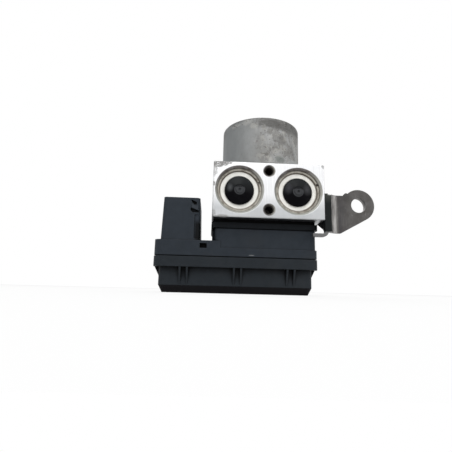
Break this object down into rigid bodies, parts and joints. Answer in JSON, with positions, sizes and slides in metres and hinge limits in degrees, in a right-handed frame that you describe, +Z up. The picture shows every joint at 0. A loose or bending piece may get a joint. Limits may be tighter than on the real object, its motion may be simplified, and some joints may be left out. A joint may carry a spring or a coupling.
{
  "type": "abs brake module",
  "caption": "Anti-lock brake module: a motor-driven pump on a valve block, with its control unit and a side mounting bracket.",
  "frame": {"origin": "where the pump motor's axis meets the flat end face of the control unit's cover", "axes": "+Z up the motor's axis, +X from the connector's end towards the bracket, -Y out of the face with the reservoirs"},
  "size_m": [0.1842, 0.0761, 0.1531],
  "materials": {
    "block_aluminium": "machined extruded aluminium, lightly scuffed",
    "cream_plastic": "ivory moulded plastic",
    "black_plastic": "black moulded plastic",
    "spring_steel": "bare spring steel",
    "zinc_steel": "zinc-plated steel",
    "stainless": "ground steel",
    "seal_rubber": "black sealing rubber",
    "gasket_rubber": "dark moulded gasket",
    "copper_wire": "enamelled copper wire",
    "copper_bar": "copper commutator bars",
    "core_steel": "soft magnetic steel",
    "tin_brass": "tinned brass",
    "housing_plastic": "dark grey glass-filled plastic",
    "cover_plastic": "dark grey glass-filled plastic",
    "board_green": "green circuit board",
    "component_black": "black component cases",
    "motor_steel": "drawn steel can, dull and stained",
    "magnet_ferrite": "ferrite magnet",
    "carbon": "carbon brush",
    "bronze": "sintered bronze",
    "bracket_steel": "coated sheet steel, stained",
    "collar_steel": "turned steel",
    "piston_aluminium": "turned aluminium"
  },
  "bodies": {
    "housing": {"bearing_outer_ring": "stainless", "block_gasket": "gasket_rubber", "board_components": "component_black", "bracket_bolts": "zinc_steel", "bracket_collar": "collar_steel", "brush_plate": "black_plastic", "brush_springs": "spring_steel", "brushes": "carbon", "circuit_board": "board_green", "coil_cups": "core_steel", "coil_pins": "tin_brass", "connector_pins": "tin_brass", "cover_seal": "seal_rubber", "ecu_cover": "cover_plastic", "ecu_housing": "housing_plastic", "ecu_screws": "zinc_steel", "foot_bush": "bronze", "hydraulic_block": "block_aluminium", "motor_can": "motor_steel", "motor_lead": "black_plastic", "motor_magnets": "magnet_ferrite", "motor_screws": "zinc_steel", "motor_seal": "seal_rubber", "mounting_bracket": "bracket_steel", "pump_guide_seals": "seal_rubber", "pump_plug_seals": "seal_rubber", "pump_plugs": "zinc_steel", "pump_spring_left": "spring_steel", "pump_spring_right": "spring_steel", "rear_bush": "bronze", "reservoir_caps": "black_plastic", "reservoir_spring_left": "spring_steel", "reservoir_spring_right": "spring_steel", "reservoir_washers": "cream_plastic", "snap_rings": "spring_steel", "solenoid_coils": "copper_wire", "valve_bodies": "zinc_steel", "valve_domes": "stainless", "valve_springs": "spring_steel"},
    "rotor": {"motor_shaft": "stainless", "armature_core": "core_steel", "armature_windings": "copper_wire", "commutator": "copper_bar", "bearing_inner_ring": "stainless", "bearing_balls": "stainless", "eccentric_ring": "stainless"},
    "reservoir_left": {"reservoir_piston_left": "piston_aluminium", "reservoir_seal_left": "seal_rubber"},
    "reservoir_right": {"reservoir_piston_right": "piston_aluminium", "reservoir_seal_right": "seal_rubber"},
    "pump_piston_left_slider": {"pump_piston_left": "stainless"},
    "pump_piston_right_slider": {"pump_piston_right": "stainless"},
    "inlet_valve_1": {"inlet_plunger_1": "core_steel"},
    "inlet_valve_2": {"inlet_plunger_2": "core_steel"},
    "inlet_valve_3": {"inlet_plunger_3": "core_steel"},
    "inlet_valve_4": {"inlet_plunger_4": "core_steel"},
    "outlet_valve_1": {"outlet_plunger_1": "core_steel"},
    "outlet_valve_2": {"outlet_plunger_2": "core_steel"},
    "outlet_valve_3": {"outlet_plunger_3": "core_steel"},
    "outlet_valve_4": {"outlet_plunger_4": "core_steel"}
  },
  "joints": [
    {"name": "rotor_turn", "type": "hinge", "parent": "housing", "child": "rotor", "pos_m": [0, 0, 0.0925], "axis": [0, 0, 1], "continuous": true},
    {"name": "reservoir_left_slide", "type": "slide", "parent": "housing", "child": "reservoir_left", "axis": [0, -1, 0], "range_m": [0, 0.004], "stiffness_N_per_m": 2000, "springref_m": -0.004, "deforming": ["reservoir_spring_left"]},
    {"name": "reservoir_right_slide", "type": "slide", "parent": "housing", "child": "reservoir_right", "axis": [0, -1, 0], "range_m": [0, 0.004], "stiffness_N_per_m": 2000, "springref_m": -0.004, "deforming": ["reservoir_spring_right"]},
    {"name": "pump_piston_left_slide", "type": "slide", "parent": "housing", "child": "pump_piston_left_slider", "axis": [1, 0, 0], "range_m": [0, 0.001], "stiffness_N_per_m": 500, "deforming": ["pump_spring_left"]},
    {"name": "pump_piston_right_slide", "type": "slide", "parent": "housing", "child": "pump_piston_right_slider", "axis": [-1, 0, 0], "range_m": [0, 0.001], "stiffness_N_per_m": 500, "deforming": ["pump_spring_right"]},
    {"name": "inlet_plunger_1_slide", "type": "slide", "parent": "housing", "child": "inlet_valve_1", "axis": [0, 0, 1], "range_m": [0, 0.0004], "stiffness_N_per_m": 4000, "springref_m": -0.001, "deforming": ["valve_springs"]},
    {"name": "inlet_plunger_2_slide", "type": "slide", "parent": "housing", "child": "inlet_valve_2", "axis": [0, 0, 1], "range_m": [0, 0.0004], "stiffness_N_per_m": 4000, "springref_m": -0.001, "deforming": ["valve_springs"]},
    {"name": "inlet_plunger_3_slide", "type": "slide", "parent": "housing", "child": "inlet_valve_3", "axis": [0, 0, 1], "range_m": [0, 0.0004], "stiffness_N_per_m": 4000, "springref_m": -0.001, "deforming": ["valve_springs"]},
    {"name": "inlet_plunger_4_slide", "type": "slide", "parent": "housing", "child": "inlet_valve_4", "axis": [0, 0, 1], "range_m": [0, 0.0004], "stiffness_N_per_m": 4000, "springref_m": -0.001, "deforming": ["valve_springs"]},
    {"name": "outlet_plunger_1_slide", "type": "slide", "parent": "housing", "child": "outlet_valve_1", "axis": [0, 0, -1], "range_m": [0, 0.0004], "stiffness_N_per_m": 4000, "springref_m": -0.001, "deforming": ["valve_springs"]},
    {"name": "outlet_plunger_2_slide", "type": "slide", "parent": "housing", "child": "outlet_valve_2", "axis": [0, 0, -1], "range_m": [0, 0.0004], "stiffness_N_per_m": 4000, "springref_m": -0.001, "deforming": ["valve_springs"]},
    {"name": "outlet_plunger_3_slide", "type": "slide", "parent": "housing", "child": "outlet_valve_3", "axis": [0, 0, -1], "range_m": [0, 0.0004], "stiffness_N_per_m": 4000, "springref_m": -0.001, "deforming": ["valve_springs"]},
    {"name": "outlet_plunger_4_slide", "type": "slide", "parent": "housing", "child": "outlet_valve_4", "axis": [0, 0, -1], "range_m": [0, 0.0004], "stiffness_N_per_m": 4000, "springref_m": -0.001, "deforming": ["valve_springs"]}
  ]
}
